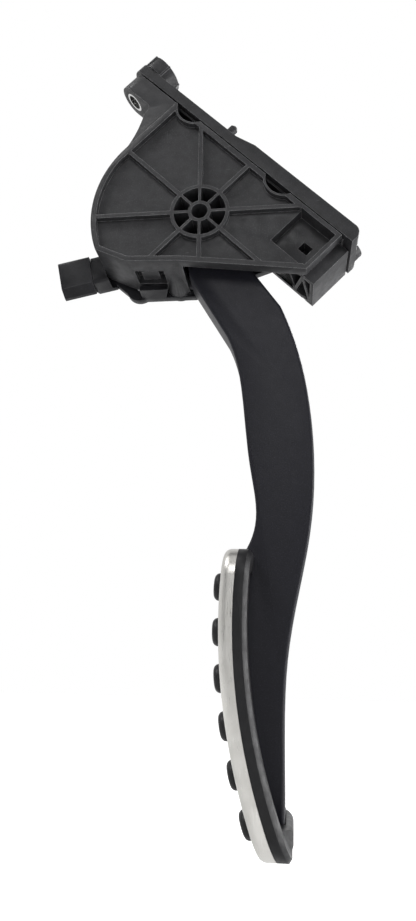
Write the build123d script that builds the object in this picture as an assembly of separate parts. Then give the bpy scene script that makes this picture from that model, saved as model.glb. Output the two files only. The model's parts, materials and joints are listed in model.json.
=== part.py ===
from build123d import *
import math
import os

# Hanging accelerator pedal of a car: a moulded housing bolted to the bulkhead by its slanting base,
# an arm that turns on two hollow stubs, twin return springs, an angle sensor with its connector,
# and a rubber pad under a stainless cover. All sizes are in millimetres and degrees.
# While drawing, X points to the bulkhead, Z up and Y from the ribbed side to the sensor side, and the
# pivot axis meets the ribbed rim at zero. Every piece is then moved so that zero is the middle of the
# upper bolt hole on the base's outer face.

# Base direction: "along" runs down the slanting base, "out" runs away from the pivot towards it
base_angle = 45.0
seat_out = 31.8
base_seam = 0.8
base_thick = 4.5
base_step = 2.1
base_depth = 27.0
base_near = 0.5
base_end = 58.2
base_shoulder = -44.0
step_start = -14.9
step_end = -5.3
corner_round = 4.0

# Bolt fixings
bolt_along = -69.2
bolt_depth = 8.0
sleeve_bore = 6.7
sleeve_outer = 8.7
lug_radius = 7.5
lug_end = 22.9
base_lobe_radius = 9.0
collar_outer = 17.0
collar_length = 6.4
crush_rib = 0.9
crush_ribs = 6
lower_bolt_along = 28.0
lower_bolt_depth = 41.0
lower_boss_out = 26.0
lower_boss_radius = 7.3
pin_along = -23.0
pin_radius = 2.0
pin_length = 6.8
foot_along = 53.6
foot_depth = 21.0
foot_radius = 4.6
foot_height = 1.5

# Housing
housing_depth = 28.0
arc_radius = 48.0
wall = 2.4
side_wall = 5.0
panel_recess = 2.6
rim_width = 2.3
rib_width = 1.8
rim_end = 53.0
underside_out = 10.6
block_start = 31.0
block_end = 57.4
block_near = 8.0
toe = (-31.5, -22.3)
knee = (-9.4, -23.2)
facet_angle = 199.4
step_along = -45.2
neck_along = -55.0
neck_out = 17.8
neck_sag = 0.8
lug_web = -56.0
lug_corner = 2.5
slot_left = -7.6
parting_groove = 2.2
groove_inset = 1.2
pocket_start = 31.6
pocket_end = 51.2
pocket_low = 11.4
pocket_high = 30.0
pocket_depth = 7.5
window_along = 43.4
window_out = 20.2
window_size = (5.0, 4.2)
window_depth = 7.0
notch_alongs = (-39.8, 15.9)
notch_chord = 14.7
notch_drop = 4.1
notch_depth = 14.0
notch_wall = 0.9
cell_frame = 2.0
cell_rib = 1.4
cell_height = 4.8
cell_legs = 5
foot_cone = (3.0, 6.2)
foot_cone_near = 7.0

# Hub, stubs and bushes
hub_ring = 12.9
hub_ring_wall = 1.5
hub_core = 5.0
hub_core_bore = 3.6
spoke_count = 8
spoke_width = 1.1
stub_floor = 2.0
stub_gap = 3.5
far_stub = 9.0
far_stub_wall = 2.2
far_stub_length = 7.5
running_fit = 0.05
press_gap = 0.02
bush_wall = 1.5
hub_wall = 3.0
hub_near = 8.0
hub_gap = 2.5
hub_web = 2.0

# Arm
arm_near = 9.0
arm_gap = 3.0
arm_edge = 1.4
arm_skin = 5.0
arm_wall = 3.2
arm_rib = 2.0
arm_rib_pitch = 17.0
arm_root = (-5.0, -26.6)
arm_tip = -245.0
arm_front = [(11.5, -54.6), (15.6, -66.5), (17.7, -78.8), (21.4, -112.9), (23.4, -133.5)]
arm_back = [(33.6, arm_tip), (33.8, -216.0), (35.2, -186.9), (39.6, -162.2), (44.9, -136.5),
            (46.8, -113.2), (45.6, -86.5), (42.1, -65.5), (34.2, -41.5)]
press_angle = 16.0

# Return springs, lever and stops
nose_beyond_hub = 12.53
nose_angle = 150.0
nose_radius = 3.0
lever_start = 97.0
lever_web_end = 122.0
lever_rail = 6.0
lever_width = 12.0
contact_gap = 0.3
spring_seat = -15.5
outer_spring_mean = 13.8
outer_spring_wire = 1.8
outer_spring_turns = 6.0
inner_spring_mean = 9.2
inner_spring_wire = 1.3
inner_spring_turns = 8.0
cap_thick = 2.5
cap_radius = 8.4
guide_radius = 3.2
guide_length = 4.0
spring_block = -15.5
bumper_thick = 3.0
bumper_length = 8.0
travel_bumper_along = 37.0
travel_bumper_radius = 3.0
travel_bumper_proud = 1.8
travel_bumper_stem = 4.0

# Snap hook under the floor
hook_window = (-29.5, -16.5, 9.0, 20.0)
hook_width = 7.5
hook_depth = 4.0
skirt_taper = 2.0

# Friction stack
friction_disc_thick = 1.4
disc_spring_thick = 0.7

# Sensor side
cover_floor = 3.5
cover_lip = 2.0
cover_bottom = -25.9
cover_corner_x = -4.7
cover_toe_x = -34.0
cover_toe = (-35.0, -24.6)
cover_arc_end = 195.0
cover_inset = 1.5
bowl_radius = 19.8
bowl_height = 7.0
bowl_wall = 2.0
lid_thick = 1.8
gasket_wide = 1.0
gasket_thick = 0.8
board_thick = 1.6
board_post = 1.5
board_post_radius = 1.6
board_posts = [(11.0, 6.0), (11.0, -6.0), (-9.0, 11.0)]
board_gap = 0.8
chip_size = 5.0
chip_gap = 1.2
magnet_inner = 11.6
magnet_outer = 14.4
magnet_depth = 3.5
magnet_span = 110.0

# Connector
plug_tilt = 12.0
plug_out = 18.3
plug_gap = 5.75
plug_z = -18.5
plug_tall = 13.7
plug_wide = 10.5
plug_long = 14.6
plug_wall = 1.6
plug_floor = 1.6
plug_corner = 1.6
keel_tall = 3.25
keel_flat = (-1.5, 0.3)
keel_end = 3.8
neck_long = 9.0
neck_low = -6.0
neck_high = 5.5
neck_gap = 9.0
latch_low = (4.5, -3.25, -19.0)
latch_high = (6.3, 3.75, -15.0)
blade = 1.0
blade_pitch = (2.6, 3.2)
blade_reach = 6.0
blade_rise = (17.0, 14.9)
blade_cover = (1.2, 2.6)
blade_inset = (9.4, 7.2)

# Screws
cover_screw_places = [(-12.0, -19.8), (-31.0, -20.4)]
cover_screw_base_places = [(-41.0, 3.0), (-41.0, 24.0), (43.0, 25.0)]
base_screw_places = [(-38.0, 19.0), (8.0, 19.0), (36.0, 19.0)]
screw_radius = 1.4
screw_head = 3.0
screw_head_high = 2.0
screw_length = 13.0
screw_boss = 4.0
lobe_radius = 6.4

# Pad
pad_centre = (220.9, -174.0)
pad_front = 210.0
pad_wide = 56.0
pad_top = -146.0
pad_bottom = -251.4
pad_corner = 10.0
sheet = 1.0
sheet_flange = 5.2
sheet_edge = 3.0
rubber_face = 3.5
carrier_thick = 3.0
lip_thick = 2.8
lip_bevel = 1.6
lip_wide = 5.5
carrier_inset = 2.5
fit_gap = 0.05
stud_radius = 5.1
stud_gap = 0.2
stud_proud = 2.8
stud_edge = 2.0
stud_rows = 6
stud_columns = 3
stud_pitch = 16.3
first_stud_z = -160.0
heel_top = -241.8
heel_reach = 36.6
heel_round = 2.5
heel_wide = 22.4

# Values worked out from the sizes above
base_in = seat_out + base_seam
base_out = base_in + base_thick
collar_end = base_out + collar_length
lug_depth = bolt_depth + lug_radius
floor_in = toe[1] + wall
notch_radius = ((notch_chord / 2) ** 2 + notch_drop ** 2) / (2 * notch_drop)
notch_out = seat_out - notch_drop + notch_radius
near_bush_outer = hub_ring + running_fit + bush_wall
far_bush_outer = far_stub + running_fit + bush_wall
hub_radius = near_bush_outer + press_gap + hub_wall
hub_far = housing_depth - hub_gap
near_stub_end = housing_depth - far_stub_length - stub_gap
arm_far = housing_depth - arm_gap
arm_mid = (arm_near + arm_far) / 2
cover_far = housing_depth + cover_floor
bowl_far = cover_far + bowl_height
pad_near = arm_mid - pad_wide / 2
pad_far = arm_mid + pad_wide / 2
sheet_back = pad_front - sheet_flange
carrier_front = pad_front - sheet - rubber_face
carrier_back = carrier_front - carrier_thick
rubber_back = carrier_back - lip_thick
nose_reach = hub_radius + nose_beyond_hub
nose_z = nose_reach * math.sin(math.radians(nose_angle))
nose_x = nose_reach * math.cos(math.radians(nose_angle))
pressed_nose_x = nose_reach * math.cos(math.radians(nose_angle + press_angle))
spring_x = (nose_x + pressed_nose_x) / 2
cap_top = nose_z - nose_radius - contact_gap
cap_under = cap_top - cap_thick
plug_depth = housing_depth - plug_gap

base_plane = Plane(
    origin=(0, 0, 0),
    x_dir=(math.cos(math.radians(base_angle)), 0, -math.sin(math.radians(base_angle))),
    z_dir=(math.sin(math.radians(base_angle)), 0, math.cos(math.radians(base_angle))),
)
plug_plane = Plane(
    origin=(-arc_radius - plug_out, plug_depth, plug_z),
    x_dir=(-math.sin(math.radians(plug_tilt)), 0, math.cos(math.radians(plug_tilt))),
    z_dir=(-math.cos(math.radians(plug_tilt)), 0, -math.sin(math.radians(plug_tilt))),
)


# Helpers

def base_xz(along, out):
    """Point of the side elevation, from its place along the base and out towards it."""
    point = base_plane.from_local_coords(Vector(along, 0, out))
    return (point.X, point.Z)


def polar_xz(radius, angle):
    """Point of the side elevation at a radius and an angle about the pivot."""
    turn = math.radians(angle)
    return (radius * math.cos(turn), radius * math.sin(turn))


def slab(face, near, far):
    """Solid from a face of the side elevation, between two depths."""
    return extrude(Plane.XZ.offset(-near) * face, amount=far - near, dir=(0, 1, 0))


def block(low, high):
    """Box between two corners."""
    size = [b - a for a, b in zip(low, high)]
    middle = [(a + b) / 2 for a, b in zip(low, high)]
    return Pos(*middle) * Box(*size)


def base_block(low, high):
    """Box between two corners, each given as along, depth and out."""
    return base_plane * block(low, high)


def base_rod(along, depth, low, high, radius):
    """Round bar that stands square on the base."""
    return base_plane * Pos(along, depth, (low + high) / 2) * Cylinder(radius, high - low)


def depth_rod(place, near, far, radius):
    """Round bar parallel to the pivot."""
    return slab(Pos(*place) * Circle(radius), near, far)


def depth_ring(near, far, outer, inner):
    """Ring round the pivot."""
    return slab(Circle(outer) - Circle(inner), near, far)


def together(pieces):
    """Several solids as one piece."""
    return Compound([solid for piece in pieces for solid in piece.solids()])


def sector(inner, outer, start, end):
    """Part of a ring round the pivot, between two angles."""
    edges = [
        CenterArc((0, 0), outer, start, end - start),
        Line(polar_xz(outer, end), polar_xz(inner, end)),
        CenterArc((0, 0), inner, end, start - end),
        Line(polar_xz(inner, start), polar_xz(outer, start)),
    ]
    return make_face(edges)


# Housing

def side_face():
    """Outline of the ribbed side, with the bolt lug."""
    arc_top = base_xz(-arc_radius, 0)
    neck = base_xz(neck_along, neck_out)
    web = base_xz(lug_web, lug_end)
    edges = [
        Line(base_xz(bolt_along - lug_radius, seat_out), base_xz(rim_end, seat_out)),
        Line(base_xz(rim_end, seat_out), base_xz(rim_end, underside_out)),
        Polyline(base_xz(rim_end, underside_out), knee, toe, polar_xz(arc_radius, facet_angle)),
        CenterArc((0, 0), arc_radius, facet_angle, 90 + base_angle - facet_angle),
        SagittaArc(arc_top, neck, -neck_sag),
        Line(neck, web),
        Line(web, base_xz(bolt_along - lug_radius, lug_end)),
        Line(base_xz(bolt_along - lug_radius, lug_end), base_xz(bolt_along - lug_radius, seat_out)),
    ]
    face = make_face(edges)
    corner = face.vertices().sort_by_distance(Plane.XY.from_local_coords(Vector(*web)))[0]
    return fillet(corner, lug_corner)


def cavity_face():
    """Outline of the space inside the housing."""
    inner = arc_radius - wall
    start = 180 - math.degrees(math.asin(spring_seat / inner))
    edges = [
        CenterArc((0, 0), inner, start, 90 + base_angle - start),
        Polyline(
            base_xz(-inner, 0),
            base_xz(-inner, seat_out - wall),
            base_xz(block_start, seat_out - wall),
            base_xz(block_start, underside_out),
            (slot_left, floor_in),
            (spring_block, floor_in),
            (spring_block, spring_seat),
            polar_xz(inner, start),
        ),
    ]
    return make_face(edges)


def slot_face():
    """Outline of the gap under the housing that the arm hangs through."""
    below = 3 * toe[1]
    return make_face(Polyline(
        (slot_left, floor_in),
        (slot_left, below),
        (arc_radius - below, below),
        base_xz(2 * block_end, underside_out),
        base_xz(block_start, underside_out),
        (slot_left, floor_in),
    ))


def half_face(along):
    """Everything in the side elevation beyond a place along the base."""
    sheet_size = 6 * arc_radius
    return Rot(0, 0, -base_angle) * Pos(along + sheet_size / 2, 0) * Rectangle(sheet_size, sheet_size)


def panel_face():
    """Sunk panels of the ribbed side, between the rim, the ribs and the hub ring."""
    ribbed = side_face() & half_face(step_along - rim_width)
    face = offset(ribbed, amount=-rim_width, kind=Kind.INTERSECTION)
    face -= Circle(hub_ring)
    for turn in range(spoke_count):
        rib = Pos(2 * arc_radius, 0) * Rectangle(4 * arc_radius, rib_width)
        face -= Rot(0, 0, 360 / spoke_count * turn) * rib
    for along in notch_alongs:
        face -= Pos(*base_xz(along, notch_out)) * Circle(notch_radius + notch_wall)
    return face


def hub_pockets():
    """Cored pockets of the near stub, between its spokes."""
    face = Circle(hub_ring - hub_ring_wall) - Circle(hub_core)
    for turn in range(spoke_count):
        spoke = Pos(hub_ring / 2, 0) * Rectangle(hub_ring, spoke_width)
        face -= Rot(0, 0, 360 / spoke_count * turn) * spoke
    return slab(face + Circle(hub_core_bore), 0, near_stub_end - stub_floor)


def lug():
    """Bolt lug and its web, rounded about the bolt."""
    plan = Pos(bolt_along, bolt_depth) * Circle(lug_radius)
    web = Pos((bolt_along - arc_radius + wall) / 2, bolt_depth)
    plan += web * Rectangle(wall - arc_radius - bolt_along, 2 * lug_radius)
    prism = base_plane * extrude(plan, amount=2 * seat_out)
    return slab(side_face(), 0, lug_depth) & prism


def rest_stop_face(near_edge, far_edge, inner, outer):
    """Block beside the lever's leading edge, between two distances from it."""
    middle = Pos((inner + outer) / 2, -(near_edge + far_edge) / 2)
    return Rot(0, 0, lever_start) * middle * Rectangle(outer - inner, far_edge - near_edge)


def screw_boss_places():
    """Places of all cover screws in the side elevation."""
    return cover_screw_places + [base_xz(*place) for place in cover_screw_base_places]


def bar_face(start, end, width):
    """Straight bar between two points of a drawing."""
    long = math.hypot(end[0] - start[0], end[1] - start[1])
    lean = math.degrees(math.atan2(end[1] - start[1], end[0] - start[0]))
    middle = Pos((start[0] + end[0]) / 2, (start[1] + end[1]) / 2)
    return middle * Rot(0, 0, lean) * Rectangle(long, width)


def underside_cells():
    """Cored cells in the end block's underside, between zigzag ribs."""
    low = block_start + cell_frame
    step = (block_end - cell_frame - low) / cell_legs
    sides = (block_near + cell_frame, housing_depth - cell_frame)
    middle = Pos((block_start + block_end) / 2, sum(sides) / 2)
    plan = middle * Rectangle(cell_legs * step, sides[1] - sides[0])
    for leg in range(cell_legs):
        start = (low + step * leg, sides[leg % 2])
        end = (low + step * (leg + 1), sides[(leg + 1) % 2])
        plan -= bar_face(start, end, cell_rib)
    plan -= Pos(travel_bumper_along, arm_mid) * Circle(travel_bumper_radius + cell_rib)
    return base_plane * Pos(0, 0, underside_out) * extrude(plan, amount=cell_height)


def housing_shell():
    side = side_face()
    shell = slab(side, 0, housing_depth)
    shell -= base_block((2 * bolt_along, -1, -seat_out), (-arc_radius, 2 * housing_depth, 2 * seat_out))
    shell -= slab(cavity_face(), side_wall, 2 * housing_depth)
    shell -= slab(slot_face(), side_wall, 2 * housing_depth)
    shell += lug()
    shell += base_block((block_start, block_near, underside_out), (block_end, housing_depth, seat_out))
    shell -= underside_cells()
    shell -= base_block((pocket_end, side_wall, 0), (2 * block_end, block_near, seat_out))
    # Stub that the arm's hub turns on
    shell += depth_rod((0, 0), 0, near_stub_end, hub_ring)
    # Bosses and stops inside
    inside = housing_depth
    for place in screw_boss_places():
        shell += slab((Pos(*place) * Circle(screw_boss)) & side, side_wall, inside)
    x, z = cover_screw_places[0]
    cone = Rot(-90, 0, 0) * Cone(*foot_cone, housing_depth - foot_cone_near)
    under = block((x - arc_radius, 0, 2 * toe[1]), (x + arc_radius, housing_depth, floor_in))
    shell += Pos(x, (foot_cone_near + housing_depth) / 2, z) * cone & under
    for along, depth in base_screw_places:
        shell += base_rod(along, depth, seat_out - screw_length + base_thick, seat_out, screw_boss)
    for along in notch_alongs:
        rim = Pos(*base_xz(along, notch_out)) * Circle(notch_radius + notch_wall)
        shell += slab(rim & side, 0, notch_depth + notch_wall)
    pillar = rest_stop_face(contact_gap + bumper_thick, contact_gap + 3 * bumper_thick,
                            hub_radius + bumper_thick, arc_radius - 2 * wall)
    shell += slab(pillar & side, side_wall, arm_far)
    guide = Pos(spring_x, arm_mid, spring_seat + guide_length / 2)
    shell += guide * Cylinder(guide_radius, guide_length)
    # Sunk panels, hub pockets, tool pocket and notches of the ribbed side
    shell -= slab(panel_face(), 0, panel_recess)
    shell -= hub_pockets()
    shell -= base_block((pocket_start, 0, pocket_low), (pocket_end, pocket_depth, pocket_high))
    half = [size / 2 for size in window_size]
    shell -= base_block((window_along - half[0], 0, window_out - half[1]),
                        (window_along + half[0], pocket_depth + window_depth, window_out + half[1]))
    for along in notch_alongs:
        shell -= depth_rod(base_xz(along, notch_out), 0, notch_depth, notch_radius)
    # Snap window with its hook
    left, right, front, back = hook_window
    floor_top = toe[1] + hook_depth
    shell -= block((left, front, 2 * toe[1]), (right, back, floor_top))
    hook_left = (left + right - hook_width) / 2
    shell += block((hook_left, front + hook_depth / 2, toe[1] + wall / 4),
                   (hook_left + hook_width, back - hook_depth / 2, floor_top))
    # Parting groove round the sensor side
    deep = side & half_face(-arc_radius)
    groove = deep - offset(deep, amount=-groove_inset, kind=Kind.INTERSECTION)
    shell -= slab(groove, housing_depth - parting_groove, housing_depth)
    # Holes for the screws, the sleeve and the stop
    for place in screw_boss_places():
        shell -= depth_rod(place, housing_depth - screw_length, housing_depth, screw_radius + press_gap)
    for along, depth in base_screw_places:
        shell -= base_rod(along, depth, base_out - screw_length, seat_out, screw_radius + press_gap)
    shell -= base_rod(bolt_along, bolt_depth, 0, 2 * seat_out, sleeve_outer / 2 + press_gap)
    shell -= base_rod(travel_bumper_along, arm_mid, underside_out, underside_out + travel_bumper_stem,
                      travel_bumper_radius + press_gap)
    return shell


# Base and fixings

def base_plan():
    """Outline of the base, drawn as along and depth."""
    tangent = 120.0
    shoulder = (bolt_along + base_lobe_radius * math.cos(math.radians(tangent)),
                bolt_depth + base_lobe_radius * math.sin(math.radians(tangent)))
    plan = make_face(Polyline(
        (bolt_along, base_near),
        (base_end, base_near),
        (base_end, base_depth),
        (base_shoulder, base_depth),
        shoulder,
        (bolt_along, base_near),
    ))
    plan += Pos(bolt_along, bolt_depth) * Circle(base_lobe_radius)
    plan += Pos(lower_bolt_along, lower_bolt_depth) * Circle(base_lobe_radius)
    plan += Pos(lower_bolt_along, (base_depth + lower_bolt_depth) / 2) * Rectangle(
        2 * base_lobe_radius, lower_bolt_depth - base_depth)
    near_side = Pos(0, base_near - base_depth) * Rectangle(4 * base_depth + 4 * base_end, 2 * base_depth)
    return plan - near_side


def mounting_base():
    profile = make_face(Polyline(
        (2 * bolt_along, base_in),
        (base_end, base_in),
        (base_end, base_out + base_step),
        (step_end, base_out + base_step),
        (step_start, base_out),
        (2 * bolt_along, base_out),
        (2 * bolt_along, base_in),
    ))
    end = profile.vertices().sort_by(Axis.X)[-2:].sort_by(Axis.Y)[-1]
    profile = fillet(end, corner_round)
    base = base_plane * extrude(Plane.XZ * profile, amount=4 * base_depth, dir=(0, 1, 0))
    base &= base_plane * Pos(0, 0, base_in) * extrude(base_plan(), amount=collar_length + base_thick)
    # Land that seats on the housing inside the seam
    base += base_block((bolt_along - lug_radius / 2, bolt_depth - lug_radius / 2, seat_out),
                       (base_end - 2 * wall, housing_depth - wall, base_in))
    # Collar with crush ribs, locating pin and foot pad
    base += base_rod(bolt_along, bolt_depth, base_out, collar_end, collar_outer / 2)
    for turn in range(crush_ribs):
        rib = Rot(0, 0, 360 / crush_ribs * turn) * Pos(collar_outer / 2, 0, 0)
        rib *= Box(crush_rib, crush_rib, collar_length)
        base += base_plane * Pos(bolt_along, bolt_depth, (base_out + collar_end) / 2) * rib
    pin = base_rod(pin_along, bolt_depth, base_out, base_out + pin_length, pin_radius)
    base += chamfer(pin.edges().sort_by(SortBy.DISTANCE)[-1:], pin_radius / 2)
    base += base_rod(foot_along, foot_depth, base_in, base_out + base_step + foot_height, foot_radius)
    base += base_rod(lower_bolt_along, lower_bolt_depth, lower_boss_out, base_in, lower_boss_radius)
    # Holes for the sleeves and screws
    base -= base_rod(bolt_along, bolt_depth, seat_out, collar_end, sleeve_outer / 2 + press_gap)
    base -= base_rod(lower_bolt_along, lower_bolt_depth, lower_boss_out, base_out + base_step,
                     sleeve_outer / 2 + press_gap)
    for along, depth in base_screw_places:
        top = base_top(along)
        base -= base_rod(along, depth, seat_out, top, screw_radius + press_gap)
        base -= base_rod(along, depth, top - screw_head_high, top, screw_head + fit_gap)
    return base


def base_top(along):
    """Height of the base's outer face at a place along it."""
    share = (along - step_start) / (step_end - step_start)
    return base_out + base_step * min(max(share, 0), 1)


def sleeve(along, depth, low, high):
    """Steel compression sleeve."""
    tube = base_rod(along, depth, low, high, sleeve_outer / 2)
    return tube - base_rod(along, depth, low, high, sleeve_bore / 2)


def base_screws():
    screws = []
    for along, depth in base_screw_places:
        top = base_top(along)
        screw = base_rod(along, depth, top - screw_length, top - screw_head_high, screw_radius)
        screw += base_rod(along, depth, top - screw_head_high, top - fit_gap, screw_head)
        screws.append(screw)
    return together(screws)


# Arm

def pad_arc_x(radius, z):
    """X of a pad layer of that radius at a height."""
    return pad_centre[0] - math.sqrt(radius ** 2 - (z - pad_centre[1]) ** 2)


def arm_face():
    """Outline of the hanging arm, from the hub to the tip."""
    hub_left = polar_xz(hub_radius - hub_wall, 245)
    hub_right = polar_xz(hub_radius - hub_wall, 322)
    layer = (carrier_front + carrier_back) / 2
    pad_start = (pad_arc_x(layer, pad_top), pad_top)
    tip = (pad_arc_x(layer, arm_tip), arm_tip)
    half_way = (pad_top + arm_tip) / 2
    edges = [
        Polyline(hub_left, arm_root, arm_front[0]),
        Spline(*arm_front, pad_start),
        ThreePointArc(pad_start, (pad_arc_x(layer, half_way), half_way), tip),
        Line(tip, arm_back[0]),
        Spline(*arm_back),
        Line(arm_back[-1], hub_right),
        Line(hub_right, hub_left),
    ]
    return make_face(edges)


def arm_core():
    """Cored back of the arm, with its zigzag ribs."""
    front = [(x + arm_wall, z) for x, z in arm_front]
    back = [(x - arm_wall, z) for x, z in arm_back if z > pad_top]
    edges = [
        Spline(*front),
        Line(front[-1], back[0]),
        Spline(*back),
        Line(back[-1], front[0]),
    ]
    face = make_face(edges)
    top = back[-1][1]
    count = math.ceil((top - front[-1][1]) / arm_rib_pitch)
    for turn in range(count):
        lean = 45 if turn % 2 else -45
        middle = Pos((arm_front[2][0] + arm_back[4][0]) / 2, top - arm_rib_pitch * (turn + 0.5))
        face -= middle * Rot(0, 0, lean) * Rectangle(4 * arm_rib_pitch, arm_rib)
    return slab(face, arm_near + arm_skin, arm_far)


def pad_layer(outer, inner, inset):
    """Curved layer of the pad between two radii, with rounded corners, inset from the pad's outline."""
    ring = Pos(*pad_centre) * (Circle(outer) - Circle(inner))
    layer = slab(ring, pad_near + inset, pad_far - inset)
    plan = Pos((pad_near + pad_far) / 2, (pad_top + pad_bottom) / 2) * RectangleRounded(
        pad_wide - 2 * inset, pad_top - pad_bottom - 2 * inset, pad_corner - inset)
    return layer & extrude(Plane.YZ * plan, amount=pad_centre[0] / 2)


def lever():
    """Sprung lever on the hub: a web, a curved rail and a round nose."""
    rail = sector(nose_reach - lever_rail / 2, nose_reach + lever_rail / 2, lever_start, nose_angle)
    web = sector(hub_radius - hub_wall / 2, nose_reach, lever_start, lever_web_end)
    nose = Pos(*polar_xz(nose_reach, nose_angle)) * Circle(nose_radius)
    return slab(rail + web + nose, arm_mid - lever_width / 2, arm_mid + lever_width / 2)


def magnet_sectors():
    """Two magnet segments that face each other across the pivot."""
    sectors = []
    for start in (-magnet_span / 2, 180 - magnet_span / 2):
        face = sector(magnet_inner, magnet_outer, start, start + magnet_span)
        sectors.append(slab(face, hub_far - magnet_depth, hub_far))
    return sectors


def pedal_arm():
    blank = slab(arm_face(), arm_near, arm_far)
    sides = blank.faces().sort_by(Axis.Y)
    outline = sides[0].edges() + sides[-1].edges()
    hanging = outline.filter_by(lambda edge: arm_tip + arm_edge < edge.center().Z < floor_in)
    blank = fillet(hanging, arm_edge)
    arm = blank - arm_core()
    arm += pad_layer(carrier_front, carrier_back, carrier_inset)
    arm += depth_rod((0, 0), hub_near, hub_far, hub_radius)
    arm += lever()
    arm -= depth_rod((0, 0), 0, near_stub_end + hub_web / 2, near_bush_outer + press_gap)
    far_bore = housing_depth - far_stub_length - hub_web / 4
    arm -= depth_rod((0, 0), far_bore, hub_far, far_bush_outer + press_gap)
    for magnet in magnet_sectors():
        arm -= magnet
    return arm


# Bearings, friction stack, springs and stops

def near_bush():
    inner = hub_ring + running_fit
    return depth_ring(hub_near, near_stub_end - contact_gap, near_bush_outer, inner)


def far_bush():
    inner = far_stub + running_fit
    return depth_ring(housing_depth - far_stub_length + contact_gap, hub_far, far_bush_outer, inner)


def friction_disc():
    far = hub_near - fit_gap
    return depth_ring(far - friction_disc_thick, far, hub_radius - fit_gap, hub_ring + contact_gap)


def disc_spring():
    """Conical spring washer between the housing and the friction disc."""
    near = side_wall
    far = hub_near - fit_gap - friction_disc_thick
    inner = hub_ring + contact_gap
    outer = hub_radius - contact_gap
    section = make_face(Polyline(
        (inner, near), (inner, near + disc_spring_thick), (outer, far), (outer, far - disc_spring_thick),
        (inner, near)))
    return revolve(section, Axis.Y)


def coil_spring(mean, wire, turns):
    """Helical return spring between the housing's seat and the cap."""
    low = spring_seat + wire / 2
    high = cap_under - wire / 2
    radius = mean / 2
    path = Pos(spring_x, arm_mid, low) * Helix(pitch=(high - low) / turns, height=high - low, radius=radius)
    start = Plane(origin=path @ 0, z_dir=path % 0)
    return sweep(start * Circle(wire / 2), path=path, is_frenet=True)


def spring_cap():
    cap = Pos(spring_x, arm_mid, (cap_top + cap_under) / 2) * Cylinder(cap_radius, cap_thick)
    guide = Pos(spring_x, arm_mid, cap_under - guide_length / 2) * Cylinder(guide_radius, guide_length)
    return cap + guide


def rest_bumper():
    inner = hub_radius + 2 * bumper_thick
    face = rest_stop_face(contact_gap, contact_gap + bumper_thick, inner, inner + bumper_length)
    return slab(face, arm_mid - lever_width / 2, arm_mid + lever_width / 2)


def travel_bumper():
    return base_rod(travel_bumper_along, arm_mid, underside_out - travel_bumper_proud,
                    underside_out + travel_bumper_stem, travel_bumper_radius)


# Sensor side

def cover_face():
    """Outline of the sensor cover's flange, with its screw lobes."""
    outer = arc_radius + cover_lip
    lower = underside_out + cover_inset
    edges = [
        CenterArc((0, 0), outer, cover_arc_end, 90 + base_angle - cover_arc_end),
        Polyline(
            base_xz(-outer, 0),
            base_xz(-outer, seat_out - contact_gap),
            base_xz(block_end - cover_inset, seat_out - contact_gap),
            base_xz(block_end - cover_inset, lower),
            base_xz(block_start, lower),
            (cover_corner_x, cover_bottom),
            (cover_toe_x, cover_bottom),
            cover_toe,
            polar_xz(outer, cover_arc_end),
        ),
    ]
    face = make_face(edges)
    for place in cover_screw_places:
        face += Pos(*place) * Circle(lobe_radius)
    return face


def plug_block(low, high, corner):
    """Bar along the plug's axis between two corners, with rounded long edges."""
    size = [b - a for a, b in zip(low, high)]
    middle = [(a + b) / 2 for a, b in zip(low, high)]
    face = Pos(middle[0], middle[1]) * RectangleRounded(size[0], size[1], corner)
    return plug_plane * Pos(0, 0, low[2]) * extrude(face, amount=size[2])


def blades():
    """Connector blades, each bent from the socket through the flange to the circuit board."""
    tip = blade_reach - plug_long + plug_floor
    top = cover_far + board_post + board_thick - plug_depth
    half = blade / 2
    result = []
    for row in range(2):
        side = blade_pitch[1] * (row - 0.5)
        run = plug_gap + blade_cover[row]
        rise = -blade_rise[row]
        foot = -arc_radius - blade_inset[row]
        for column in (-1, 0, 1):
            up = column * blade_pitch[0]
            legs = [
                block((up - half, side - half, rise - half), (up + half, side + half, tip)),
                block((up - half, side - half, rise - half), (up + half, run + half, rise + half)),
                block((up - half, run - half, foot - half), (up + half, run + half, rise + half)),
                block((up - half, run - half, foot - half), (up + half, top, foot + half)),
            ]
            result.append(plug_plane * (legs[0] + legs[1] + legs[2] + legs[3]))
    return result


def keel():
    """Sloped keel under the connector shroud."""
    foot = -plug_tall / 2
    near = -plug_wide / 2
    face = make_face(Polyline(
        (foot + plug_corner, near),
        (foot, near),
        (foot - keel_tall, keel_flat[0]),
        (foot - keel_tall, keel_flat[1]),
        (foot, keel_end),
        (foot + plug_corner, keel_end),
        (foot + plug_corner, near),
    ))
    return plug_plane * Pos(0, 0, -plug_long) * extrude(face, amount=plug_long)


def skirt():
    """Tapered skirt that closes the snap window from the sensor side."""
    left, right, front, back = hook_window
    near = back + contact_gap
    plan = make_face(Polyline(
        (left, near),
        (right, near),
        (right - skirt_taper, housing_depth),
        (left, housing_depth),
        (left, near),
    ))
    return Pos(0, 0, cover_bottom) * extrude(plan, amount=knee[1] - contact_gap - cover_bottom)


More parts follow.
